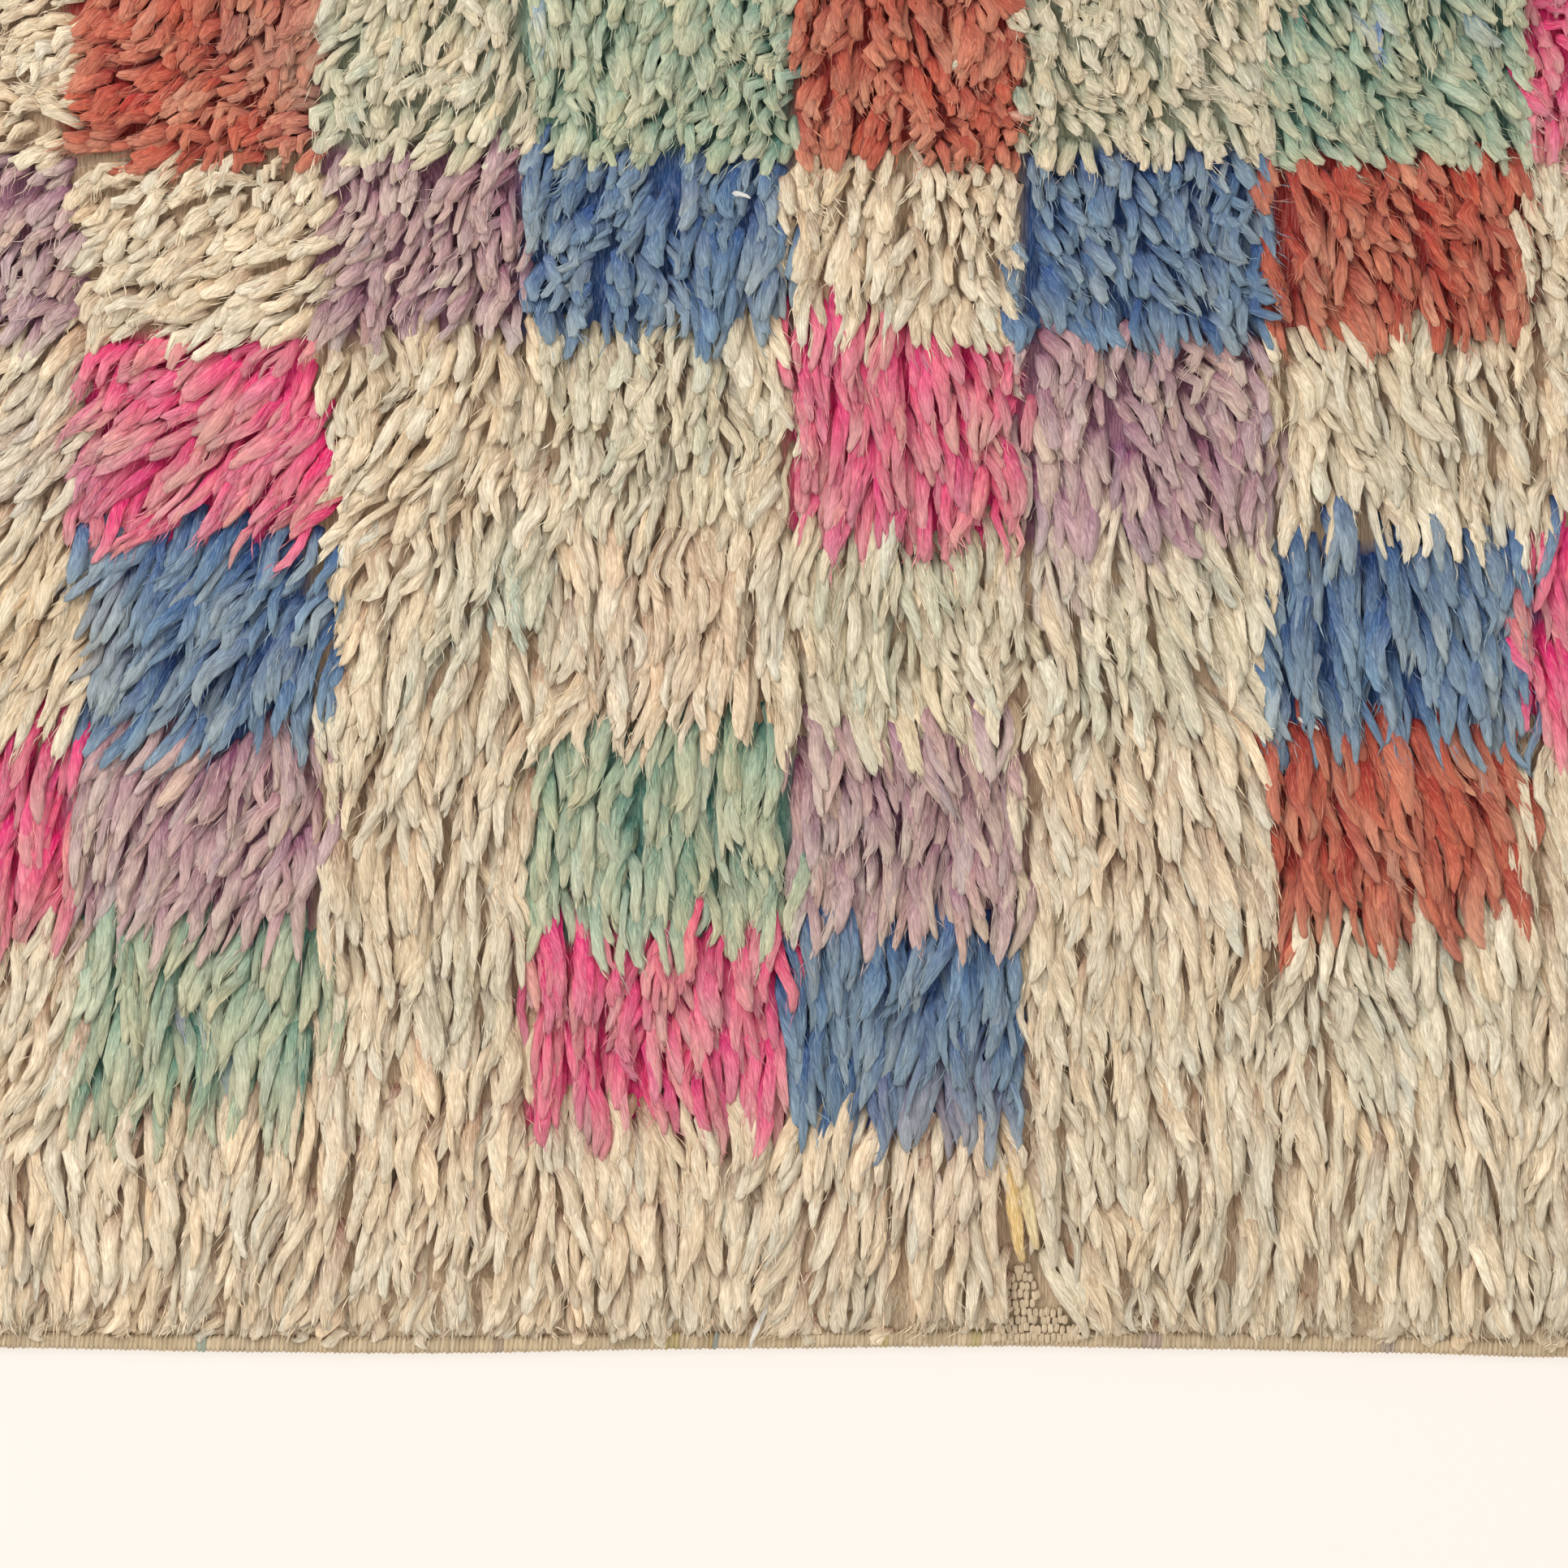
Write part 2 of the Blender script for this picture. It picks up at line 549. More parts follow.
def woolMaterial(name, paleHex, settings):
    material = bpy.data.materials.new(name)
    material.use_nodes = True
    tree = material.node_tree
    shader = tree.nodes["Principled BSDF"]
    shader.inputs["Roughness"].default_value = settings["roughness"]
    shader.inputs["Specular IOR Level"].default_value = settings["specular"]
    shader.inputs["Sheen Weight"].default_value = settings["sheen"]
    shader.inputs["Sheen Roughness"].default_value = 0.55
    place = tree.nodes.new("ShaderNodeAttribute")
    place.attribute_name = "yarnPlace"
    colour = tree.nodes.new("ShaderNodeAttribute")
    colour.attribute_name = "yarnColour"
    fibres = tree.nodes.new("ShaderNodeGroup")
    fibres.node_tree = fibreGroup
    fibres.inputs["Wind"].default_value = settings["wind"]
    tree.links.new(place.outputs["Vector"], fibres.inputs["Place"])
    bleached = tree.nodes.new("ShaderNodeMix")
    bleached.data_type = "RGBA"
    tree.links.new(mathNode(tree, "MULTIPLY", fibres.outputs["Pale"], settings["paleShare"]), bleached.inputs[0])
    tree.links.new(colour.outputs["Color"], bleached.inputs[6])
    bleached.inputs[7].default_value = (*linearColour(paleHex), 1.0)
    shaded = tree.nodes.new("ShaderNodeMix")
    shaded.data_type = "RGBA"
    shaded.blend_type = "MULTIPLY"
    shaded.inputs[0].default_value = 1.0
    tree.links.new(bleached.outputs[2], shaded.inputs[6])
    tree.links.new(fibres.outputs["Shade"], shaded.inputs[7])
    tree.links.new(shaded.outputs[2], shader.inputs["Base Color"])
    bump = tree.nodes.new("ShaderNodeBump")
    bump.inputs["Strength"].default_value = settings["bump"]
    bump.inputs["Distance"].default_value = 0.0012
    tree.links.new(fibres.outputs["Height"], bump.inputs["Height"])
    tree.links.new(bump.outputs["Normal"], shader.inputs["Normal"])
    return material


# The pile: knots in ridges that run to the front, each with a strand combed over the ones before it
pile = {
    "firstKnot": 0.0105,  # from the outline to the outermost knots
    "lanes": 4,  # strands side by side on a ridge
    "stepLying": 0.0156,  # from knot to knot along a ridge
    "stepStanding": 0.0088,
    "layLying": 0.0540,  # how far a strand reaches over the ground
    "layStanding": 0.0125,
    "widthLying": 0.0074,
    "widthStanding": 0.0064,
    "flatLying": 0.60,  # thickness of a strand over its width
    "flatStanding": 0.90,
    "spunShare": 0.50,  # share of the strands that keep their spinner's twist
    "parting": 0.0026,  # how far the widest partings between ridges open to each side
    "ridgePull": 0.10,  # share by which tips are drawn to the middle of their ridge
    "pullAcross": 0.24,  # shares by which the tips of one lock are drawn together
    "pullAlong": 0.16,
    "lockAcross": 0.0150,
    "lockAlong": 0.0340,
    "ridgeRise": 0.0040,
    "dyeReach": 0.88,  # where on a strand its dye square is looked up
    "rootHeight": 0.0012,
}


def plantKnots():
    # root places, ridge centres and how far across its ridge each knot stands
    rows = []
    ridge = 0
    for column, count in enumerate(squares["ridges"]):
        width = squares["widths"][column] / count
        for i in range(count):
            centre = columnLines[column] + (i + 0.5) * width
            for lane in range(pile["lanes"]):
                across = (lane - (pile["lanes"] - 1) / 2) / pile["lanes"] * 2
                y = rowLines[0] + draw.uniform(0, pile["stepLying"])
                while y < rowLines[-1]:
                    standing = np.interp(y, rowCentres, squares["standing"])
                    rows.append((centre, y, across, width, ridge, standing))
                    y += pile["stepLying"] + (pile["stepStanding"] - pile["stepLying"]) * standing
            ridge += 1
    return np.array(rows)


def openPartings(ridge, across, y):
    # how far a strand steps back from the parting on its side of the ridge, most between two columns
    border = ridge + (across > 0)
    opening = smoothStep((noiseAt(border * 1.7, y, 0.045, 13) + 0.04) / 0.34)
    opening = np.where(np.isin(border, np.cumsum(squares["ridges"])), 0.35 + 0.65 * opening, opening)
    return -np.sign(across) * opening * pile["parting"] * (0.4 + 0.8 * np.abs(across))


def drawTogether(x, y, angle, standing):
    # moves each tip towards the middle of the lock that it belongs to, less along it where the pile stands
    cellX = pile["lockAcross"]
    cellY = pile["lockAlong"]
    shift = np.random.default_rng(5)
    columns = int(1.2 / cellX)
    rows = int(1.2 / cellY)
    seedX = (np.arange(columns)[:, None] - columns / 2 + shift.uniform(-0.35, 0.35, (columns, rows))) * cellX
    seedY = (np.arange(rows)[None, :] - rows / 2 + shift.uniform(-0.4, 0.4, (columns, rows))) * cellY
    i = np.floor(x / cellX + columns / 2).astype(int)
    j = np.floor(y / cellY + rows / 2).astype(int)
    best = np.full(len(x), 9.0)
    moveX = np.zeros(len(x))
    moveY = np.zeros(len(x))
    pullAlong = pile["pullAlong"] * (1 - 0.75 * standing)
    lock = np.zeros(len(x), int)
    for a in (-1, 0, 1):
        for b in (-1, 0, 1):
            near = (np.clip(i + a, 0, columns - 1), np.clip(j + b, 0, rows - 1))
            dx = seedX[near] - x
            dy = seedY[near] - y
            across = dx * np.cos(angle) + dy * np.sin(angle)
            along = dx * np.sin(angle) - dy * np.cos(angle)
            far = np.hypot(across / cellX, along / cellY)
            closer = far < best
            best = np.where(closer, far, best)
            across = across * pile["pullAcross"]
            along = along * pullAlong
            moveX = np.where(closer, across * np.cos(angle) + along * np.sin(angle), moveX)
            moveY = np.where(closer, across * np.sin(angle) - along * np.cos(angle), moveY)
            lock = np.where(closer, near[0] * rows + near[1], lock)
    return x + moveX, y + moveY, lock


# Long furrows between the locks, by eye: pixel across, the pixels along where it starts and ends, and how
# many pixels it opens to each side
furrows = [
    {"px": 405, "from": 700, "to": 1640, "open": 3.5},
    {"px": 445, "from": 1420, "to": 1615, "open": 15},
    {"px": 610, "from": 1410, "to": 1580, "open": 15},
    {"px": 505, "from": 620, "to": 775, "open": 8},
    {"px": 560, "from": 1120, "to": 1350, "open": 5},
    {"px": 975, "from": 220, "to": 1190, "open": 4},
    {"px": 1050, "from": 1520, "to": 1610, "open": 7},
    {"px": 1260, "from": 220, "to": 1180, "open": 4},
    {"px": 1575, "from": 220, "to": 1200, "open": 4.5},
    {"px": 1885, "from": 300, "to": 1200, "open": 4},
    {"px": 820, "from": 1180, "to": 1420, "open": 4},
    {"px": 160, "from": 1200, "to": 1400, "open": 4},
    {"px": 1475, "from": 1240, "to": 1500, "open": 4},
    {"px": 1735, "from": 1330, "to": 1560, "open": 4},
]


def openFurrows(x, y, tipX, tipY):
    # how far roots step aside from the furrows near them, and tips so that no strand crosses one
    rootMove = np.zeros(len(x))
    tipMove = np.zeros(len(x))
    for furrow in furrows:
        middle, far = fromPhoto(furrow["px"], furrow["from"])
        near = fromPhoto(0, furrow["to"])[1]
        opening = furrow["open"] * photo["metresPerPixel"]

        def awayFrom(acrossRug, alongRug):
            return acrossRug - middle - 0.0022 * np.sin(alongRug * 95 + furrow["px"])

        def within(alongRug):
            return smoothStep((alongRug - near) / 0.014) * smoothStep((far - alongRug) / 0.014)

        away = awayFrom(x, y)
        side = np.sign(away)
        rootMove += side * within(y) * opening * np.exp(-((away / 0.011) ** 2))
        short = np.maximum(opening - side * awayFrom(tipX, tipY), 0.0) * (np.abs(away) < 0.024)
        tipMove += side * within(tipY) * np.minimum(short, 0.014)
    return rootMove, tipMove


# Spots without pile, where the knots of the ground show
bareSpots = [
    {"px": 1264, "py": 1588, "across": 24, "along": 40},
    {"px": 1284, "py": 1630, "across": 48, "along": 22},
]


def insideSpots(x, y, margin=1.0):
    found = np.zeros(len(x), bool)
    for spot in bareSpots:
        sx, sy = fromPhoto(spot["px"], spot["py"])
        scale = photo["metresPerPixel"] * margin
        found |= np.hypot((x - sx) / (spot["across"] * scale), (y - sy) / (spot["along"] * scale)) < 1
    return found


def combPile():
    knots = plantKnots()
    centre, y, across, ridgeWidth, ridge, standing = knots.T
    count = len(y)
    wobble = noiseAt(ridge * 0.37, y, 0.09, 3) * 0.0035
    x = centre + across * ridgeWidth / 2 + wobble + draw.normal(0, 0.0007, count)
    y = y + draw.uniform(-0.0045, 0.0045, count)
    inside = insideBy(x, y) > pile["firstKnot"]
    x, y, ridge, standing, across, ridgeWidth = (
        values[inside] for values in (x, y, ridge, standing, across, ridgeWidth)
    )
    count = len(x)
    standing = np.clip(standing + noiseAt(x, y, 0.07, 1) * 0.35 + draw.normal(0, 0.06, count), 0, 1)
    degrees = blendChart(squares["combing"], x, y)
    degrees = degrees + noiseAt(x, y, 0.055, 2) * (16 + 14 * standing) + noiseAt(ridge * 0.53, y, 0.05, 4) * 10
    degrees = degrees + noiseAt(x, y, 0.021, 14) * (13 + 26 * standing)
    degrees = degrees + draw.normal(0, 2.5 + 7 * standing, count)
    angle = np.radians(degrees)
    lay = pile["layLying"] + (pile["layStanding"] - pile["layLying"]) * standing
    fullLay = lay * draw.uniform(0.84, 1.16, count)
    lay = fullLay.copy()
    for _ in range(12):  # strands near the outline are cut shorter
        reach = edgeDistance(x + lay * np.sin(angle), y - lay * np.cos(angle))
        margin = 0.0088 + 0.006 * noiseAt(x, y, 0.012, 8)
        over = (reach["front"] < margin) | (np.min(list(reach.values()), axis=0) < 0.0045)
        lay = np.where(over, lay * 0.88, lay)
    tipX = x + lay * np.sin(angle)
    tipY = y - lay * np.cos(angle)
    dyeX = x + (tipX - x) * pile["dyeReach"]
    dyeY = y + (tipY - y) * pile["dyeReach"]
    straight = np.cos(angle) ** 4
    tipX = tipX - across * ridgeWidth / 2 * pile["ridgePull"] * straight
    tipX, tipY, lock = drawTogether(tipX, tipY, angle, standing)
    parted = openPartings(ridge, across, (y + tipY) / 2) * straight * (1 - 0.6 * standing)
    x = x + parted
    tipX = tipX + parted
    rootMove, tipMove = openFurrows(x, y, tipX, tipY)
    x = x + rootMove
    tipX = tipX + tipMove
    keep = insideBy(tipX, tipY) > 0.001
    for share in (0.3, 0.45, 0.6, 0.75, 0.9, 1.0):
        keep &= ~insideSpots(x + (tipX - x) * share, y + (tipY - y) * share)
    comb = {"x": x, "y": y, "ridge": ridge, "standing": standing, "angle": angle, "lay": lay, "lock": lock,
            "fullLay": fullLay, "tipX": tipX, "tipY": tipY, "dyeX": dyeX, "dyeY": dyeY, "across": across}
    return {name: values[keep] for name, values in comb.items()}


def strandCurves(comb):
    count = len(comb["x"])
    top = pileTop(comb["tipX"], comb["tipY"])
    perLock = np.random.default_rng(8)
    locks = comb["lock"].max() + 1
    lockLift = perLock.normal(0, 0.0012, locks)[comb["lock"]]
    lockSway = perLock.normal(0, 0.0040, locks)[comb["lock"]]
    lockWave = np.abs(perLock.normal(0.0015, 0.0009, locks))[comb["lock"]]
    lockPhase = perLock.uniform(0, 2 * math.pi, locks)[comb["lock"]]
    short = np.clip(comb["lay"] / comb["fullLay"], 0, 1)
    top = top * (0.40 + 0.60 * short) + lockLift + draw.normal(0, 0.0007, count)
    top = top + pile["ridgeRise"] * (1 - 2 * comb["across"] ** 2) * np.cos(comb["angle"]) ** 2
    top = top - 0.0026  # half a strand's thickness
    root = np.stack([comb["x"], comb["y"], np.full(count, pile["rootHeight"])], axis=1)
    level = np.stack([comb["tipX"] - comb["x"], comb["tipY"] - comb["y"], np.zeros(count)], axis=1)
    side = unitVectors(np.stack([-level[:, 1], level[:, 0], np.zeros(count)], axis=1))
    stand = comb["standing"][:, None]
    rise = (top - pile["rootHeight"])[:, None] * np.array([0.0, 0.0, 1.0])
    # like thatch, a strand rises all the way and rests its end on the one in front
    dip = draw.uniform(-0.03, 0.13, count)[:, None]
    sway = (lockSway + draw.normal(0, 0.0013, count))[:, None]
    second = root + level * 0.08 + rise * 0.74 + side * (draw.normal(0, 0.0012, count)[:, None] - sway * 0.6)
    third = root + level * (0.60 + 0.15 * stand) + rise * (0.93 + 0.07 * stand) + side * sway
    tip = root + level + rise * (1 - dip)
    width = pile["widthLying"] + (pile["widthStanding"] - pile["widthLying"]) * comb["standing"]
    return {
        "curve": np.stack([root, second, third, tip], axis=1),
        "length": np.linalg.norm(level, axis=1) + 0.6 * top,
        "width": width * np.clip(draw.normal(1, 0.22, count), 0.55, 1.6),
        "wave": lockWave + np.abs(draw.normal(0, 0.0003, count)),
        "phase": lockPhase + draw.normal(0, 0.5, count),
    }


def strandColours(comb, shares, dyeNames):
    # root, body and tip colour of each strand, with stains, fading towards the tip and small differences
    count = len(dyeNames)
    root = np.array([linearColour(dyes[name]["root"]) for name in dyeNames])
    body = np.array([linearColour(dyes[name]["body"]) for name in dyeNames])
    tip = np.array([linearColour(dyes[name]["tip"]) for name in dyeNames])
    for stain in stains:
        sx, sy = fromPhoto(stain["px"], stain["py"])
        far = np.hypot(comb["dyeX"] - sx, comb["dyeY"] - sy) / (stain["radius"] * photo["metresPerPixel"])
        share = smoothStep(1.5 - far) * stain["strength"] * draw.uniform(0.4, 1.3, count)
        share = np.where(dyeNames == "cream", share, share * (stain["radius"] < 100))[:, None]
        share = np.clip(share, 0, 1)
        body = body + (linearColour(stain["wool"]) - body) * share
        tip = tip + (linearColour(stain["wool"]) - tip) * share
        root = root + (linearColour(stain["root"]) - root) * share
    faded = np.array([linearColour(dyes[name]["faded"]) for name in dyeNames])
    fade = 0.36 + 0.95 * noiseAt(comb["tipX"], comb["tipY"], 0.024, 10) + draw.normal(0, 0.26, count)
    fade = np.clip(fade, 0, 1)[:, None]
    body = body + (faded - body) * fade * 0.60
    tip = tip + (faded - tip) * fade
    fresh = (draw.random(count) < 0.12)[:, None]
    body = np.where(fresh, body + (root - body) * 0.5, body)
    start = draw.normal(0, 0.05, count)[:, None]
    low = smoothStep((shares - start - 0.20) / 0.38)[..., None]
    high = smoothStep((shares - start - 0.50) / 0.44)[..., None]
    colours = root[:, None, :] + (body - root)[:, None, :] * low
    colours = colours + (tip[:, None, :] - colours) * high
    light = 1 + draw.normal(0, 0.05, count) + 0.10 * noiseAt(comb["tipX"], comb["tipY"], 0.03, 6)
    warm = draw.normal(0, 0.030, count) + 0.05 * noiseAt(comb["tipX"], comb["tipY"], 0.02, 7)
    tints = np.stack([light * (1 + warm), light, light * (1 - warm)], axis=1)
    return colours * tints[:, None, :]


def dyeOf(x, y):
    columns = np.clip(np.searchsorted(columnLines, x) - 1, 0, len(columnCentres) - 1)
    rows = np.clip(np.searchsorted(rowLines, y) - 1, 0, len(rowCentres) - 1)
    return np.array(squares["dyes"])[rows, columns]


def growStrands(comb, strands):
    # a copy of the strand on every curve, grouped by the piece that it belongs to
    count = len(strands["length"])
    dyeNames = dyeOf(comb["dyeX"], comb["dyeY"])
    pieces = np.array(["pile_" + name for name in dyeNames], dtype=object)
    cream = dyeNames == "cream"
    third = np.where(comb["y"] < -0.22, "front", np.where(comb["y"] < 0.06, "middle", "back"))
    pieces[cream] = ["pile_cream_" + part for part in third[cream]]
    spun = draw.random(count) < pile["spunShare"]
    twist = np.where(spun, draw.uniform(2.0, 4.4, count), draw.normal(0.3, 0.6, count))
    flat = pile["flatLying"] + (pile["flatStanding"] - pile["flatLying"]) * comb["standing"]
    upright = comb["standing"] > 0.38
    grown = {}
    for piece in sorted(set(pieces)):
        grown[piece] = []
        for kind, chosen in (("lying", ~upright), ("upright", upright)):
            pick = np.where(chosen & (pieces == piece))[0]
            number = len(pick)
            if number == 0:
                continue
            chosenStrands = {name: values[pick] for name, values in strands.items()}
            chosenStrands.update({
                "flat": flat[pick],
                "turn": draw.uniform(0, 2 * math.pi, number),
                "twist": twist[pick],
                "rough": 0.19,
                "seed": draw.uniform(0, 500, number),
            })
            group = copyMaster(masters[kind], chosenStrands)
            picked = {name: values[pick] for name, values in comb.items()}
            group["colours"] = strandColours(picked, group["shares"], dyeNames[pick])
            grown[piece].append(group)
    return grown, dyeNames


comb = combPile()
strands = strandCurves(comb)
grown, dyeNames = growStrands(comb, strands)
woolSettings = {"roughness": 0.93, "specular": 0.10, "sheen": 0.15, "wind": 0.8, "paleShare": 0.32, "bump": 0.8}
paleNames = {"pile_" + name: dye["faded"] for name, dye in dyes.items()}
pilePieces = []
for pieceName, groups in grown.items():
    piece = joinedMesh(pieceName, groups)
    pale = paleNames.get(pieceName, "efe7d8")
    piece.data.materials.append(woolMaterial(pieceName + "_wool", pale, woolSettings))
    pilePieces.append(piece)
print("pile combed:", len(dyeNames), "strands")


# Fine wisps of fibre that lie along the strands, fray their outlines and run past their tips
wisps = {
    "parts": ["front", "middle", "back"],  # one piece each
    "perStrand": 5.8,
    "narrowest": 0.00034,
    "widest": 0.00095,
    "shortest": 0.0060,
    "longest": 0.0160,
    "looseShare": 0.44,  # share that strays off the strands
    "light": 1.06,
}


def addWisps(part, members):
    # wisps on the given strands, each on the strand's upper half, wound a little round it
    pick = members[draw.integers(0, len(members), int(len(members) * wisps["perStrand"]))]
    number = len(pick)
    carrier = {name: values[pick] for name, values in strands.items()}
    length = draw.uniform(wisps["shortest"], wisps["longest"], number)
    start = draw.uniform(0.38, 0.98, number)
    steps = np.array([0.0, 0.33, 0.67, 1.0])
    shares = start[:, None] + steps[None, :] * (length / np.maximum(carrier["length"], 0.012))[:, None]
    past = np.maximum(shares - 1.0, 0.0)
    place, along, side, up = strandFrame(carrier, np.minimum(shares, 1.0))
    place = place + along * (past * carrier["length"][:, None])[..., None]
    loose = draw.random(number) < wisps["looseShare"]
    around = draw.normal(0, 0.85, number)[:, None] + steps[None, :] * draw.normal(0.25, 0.35, number)[:, None]
    standOff = np.where(loose, draw.uniform(0.0, 0.4, number), 0.0)[:, None] * steps
    lift = np.array([0.86, 1.04, 1.10, 1.02])[None, :] + standOff
    thin = 1 - 0.45 * smoothStep((shares - 0.75) / 0.35)
    out = (carrier["width"][:, None] / 2 * lift * thin)[..., None]
    around = around[..., None]
    outward = up * np.cos(around) * 0.80 + side * np.sin(around)
    points = place + outward * out
    stray = np.where(loose, 0.0032, 0.0011)[:, None] * draw.normal(0, 1, (number, 2))
    aside = stray[:, :1] * steps[None, :] + stray[:, 1:] * (2 * steps * (1 - steps))[None, :]
    points = points + side * aside[..., None]
    endX, endY = points[:, 3, 0], points[:, 3, 1]
    clear = ~insideSpots(endX, endY) & (insideBy(endX, endY) > 0.003)
    width = draw.uniform(wisps["narrowest"], wisps["widest"], number) * np.where(loose, 0.6, 1.0)
    fibres = {
        "curve": points[clear],
        "length": length[clear],
        "width": width[clear],
        "turn": draw.uniform(0, 2 * math.pi, number)[clear],
        "seed": draw.uniform(0, 500, number)[clear],
    }
    group = copyMaster(masters["wisp"], fibres)
    middle = unitVectors(outward[clear].mean(axis=1) + straightUp * 0.35)
    group["towards"] = np.repeat(middle[:, None, :], group["points"].shape[1], axis=1)
    pick = pick[clear]
    picked = {name: values[pick] for name, values in comb.items()}
    onStrand = shares[clear, :1] + (shares[clear, 3:] - shares[clear, :1]) * group["shares"]
    group["colours"] = strandColours(picked, onStrand, dyeNames[pick]) * wisps["light"]
    piece = joinedMesh("wisps_" + part, [group], softness["wisp"])
    settings = dict(woolSettings, bump=0.0, paleShare=0.0)
    piece.data.materials.append(woolMaterial("wisp_wool_" + part, "efe7d8", settings))
    return piece


byDepth = np.array_split(np.argsort(comb["y"]), len(wisps["parts"]))
for part, members in zip(wisps["parts"], byDepth):
    pilePieces.append(addWisps(part, members))
print("wisps added")

# Single strands that lie free on the pile, by eye: first and last pixel, how many pixels they bend aside
strays = [
    {"from": (946, 1596), "to": (925, 1663), "bend": 7, "width": 0.0030, "wool": "ece6da"},
    {"from": (886, 236), "to": (926, 247), "bend": -6, "width": 0.0028, "wool": "e6e4dd"},
    {"from": (1232, 147), "to": (1276, 145), "bend": 8, "width": 0.0050, "wool": "d2957f"},
    {"from": (1150, 98), "to": (1202, 68), "bend": 8, "width": 0.0048, "wool": "ddd0b4"},
    {"from": (1284, 1540), "to": (1340, 1650), "bend": -12, "width": 0.0085, "wool": "dccdb0"},
    {"from": (1300, 1530), "to": (1352, 1640), "bend": -14, "width": 0.0080, "wool": "e0d2b6"},
    {"from": (1238, 1425), "to": (1262, 1556), "bend": 12, "width": 0.0078, "wool": "dcb878"},
    {"from": (1254, 1440), "to": (1280, 1540), "bend": 8, "width": 0.0070, "wool": "dfc795"},
    {"from": (1598, 884), "to": (1624, 900), "bend": -4, "width": 0.0024, "wool": "efeae0"},
    {"from": (1150, 1440), "to": (1166, 1550), "bend": 12, "width": 0.0060, "wool": "e2cdb8"},
    {"from": (618, 952), "to": (632, 974), "bend": 3, "width": 0.0034, "wool": "d2c55c"},
]


def addStrays():
    curves = []
    for stray in strays:
        (x0, y0), (x1, y1) = fromPhoto(*stray["from"]), fromPhoto(*stray["to"])
        heights = pileTop(np.array([x0, x1]), np.array([y0, y1]))
        start = np.array([x0, y0, heights[0] - 0.0085])
        along = np.array([x1, y1, heights[1] - 0.0040]) - start
        aside = unitVectors(np.array([-along[1], along[0], 0.0])) * stray["bend"] * photo["metresPerPixel"]
        second = start + along * 0.22 + aside + straightUp * 0.0075
        third = start + along * 0.70 - aside + straightUp * 0.0035
        curves.append([start, second, third, start + along])
    curves = np.array(curves)
    group = copyMaster(masters["lying"], {
        "curve": curves,
        "length": np.linalg.norm(curves[:, 3] - curves[:, 0], axis=1),
        "width": np.array([stray["width"] for stray in strays]),
        "flat": 0.8,
        "twist": 3.0,
        "rough": 0.12,
        "seed": draw.uniform(0, 500, len(strays)),
    })
    colours = np.array([linearColour(stray["wool"]) for stray in strays])
    group["colours"] = np.repeat(colours[:, None, :], group["points"].shape[1], axis=1)
    piece = joinedMesh("stray_strands", [group])
    piece.data.materials.append(woolMaterial("stray_wool", "efe7d8", woolSettings))
    return piece


pilePieces.append(addStrays())
print("stray strands laid")


# The woven ground, with the roots' dye on its top
ground = {"thickness": 0.0024, "inset": 0.0040, "acrossCuts": 48, "alongCuts": 44}


def groundMaterial():
    material = bpy.data.materials.new("ground_weave")
    material.use_nodes = True
    tree = material.node_tree
    shader = tree.nodes["Principled BSDF"]
    shader.inputs["Roughness"].default_value = 0.95
    shader.inputs["Specular IOR Level"].default_value = 0.1
    place = tree.nodes.new("ShaderNodeTexCoord")
    colour = tree.nodes.new("ShaderNodeAttribute")
    colour.attribute_name = "yarnColour"
    ribs = []
    for direction, size in (("X", 0.0048), ("Y", 0.0026)):
        wave = tree.nodes.new("ShaderNodeTexWave")
        wave.bands_direction = direction
        wave.inputs["Scale"].default_value = 1 / (size * 20) * math.pi * 2
        wave.inputs["Distortion"].default_value = 0.6
        tree.links.new(place.outputs["Object"], wave.inputs["Vector"])
        ribs.append(wave.outputs["Fac"])
    weave = mathNode(tree, "MULTIPLY", *ribs)
    shade = remap(tree, weave, 0.0, 0.6, 0.62, 1.08)
    shaded = tree.nodes.new("ShaderNodeMix")
    shaded.data_type = "RGBA"
    shaded.blend_type = "MULTIPLY"
    shaded.inputs[0].default_value = 1.0
    tree.links.new(colour.outputs["Color"], shaded.inputs[6])
    tree.links.new(shade, shaded.inputs[7])
    tree.links.new(shaded.outputs[2], shader.inputs["Base Color"])
    bump = tree.nodes.new("ShaderNodeBump")
    bump.inputs["Distance"].default_value = 0.0010
    tree.links.new(weave, bump.inputs["Height"])
    tree.links.new(bump.outputs["Normal"], shader.inputs["Normal"])
    return material


def layer(name, cuts, inset, low, thickness):
    # a flat closed sheet inside the rug's outline
    bpy.ops.object.select_all(action="DESELECT")
    bpy.ops.mesh.primitive_grid_add(x_subdivisions=cuts[0], y_subdivisions=cuts[1], size=2, location=(0, 0, 0))
    piece = bpy.context.object
    piece.name = name
    for vert in piece.data.vertices:
        u, v = vert.co.x, vert.co.y
        x = u * (sum(squares["widths"]) / 2)
        y = v * (sum(squares["lengths"]) / 2)
        left = np.interp(y, *outlines["left"]) + inset
        right = np.interp(y, *outlines["right"]) - inset
        front = np.interp(x, *outlines["front"]) + inset
        back = np.interp(x, *outlines["back"]) - inset
        vert.co.x = left + (right - left) * (u + 1) / 2
        vert.co.y = front + (back - front) * (v + 1) / 2
        vert.co.z = low + thickness
    solidify = piece.modifiers.new("thickness", "SOLIDIFY")
    solidify.thickness = thickness
    solidify.offset = -1
    bpy.ops.object.modifier_apply(modifier="thickness")
    points = np.empty(len(piece.data.vertices) * 3)
    piece.data.vertices.foreach_get("co", points)
    return piece, points.reshape(-1, 3)


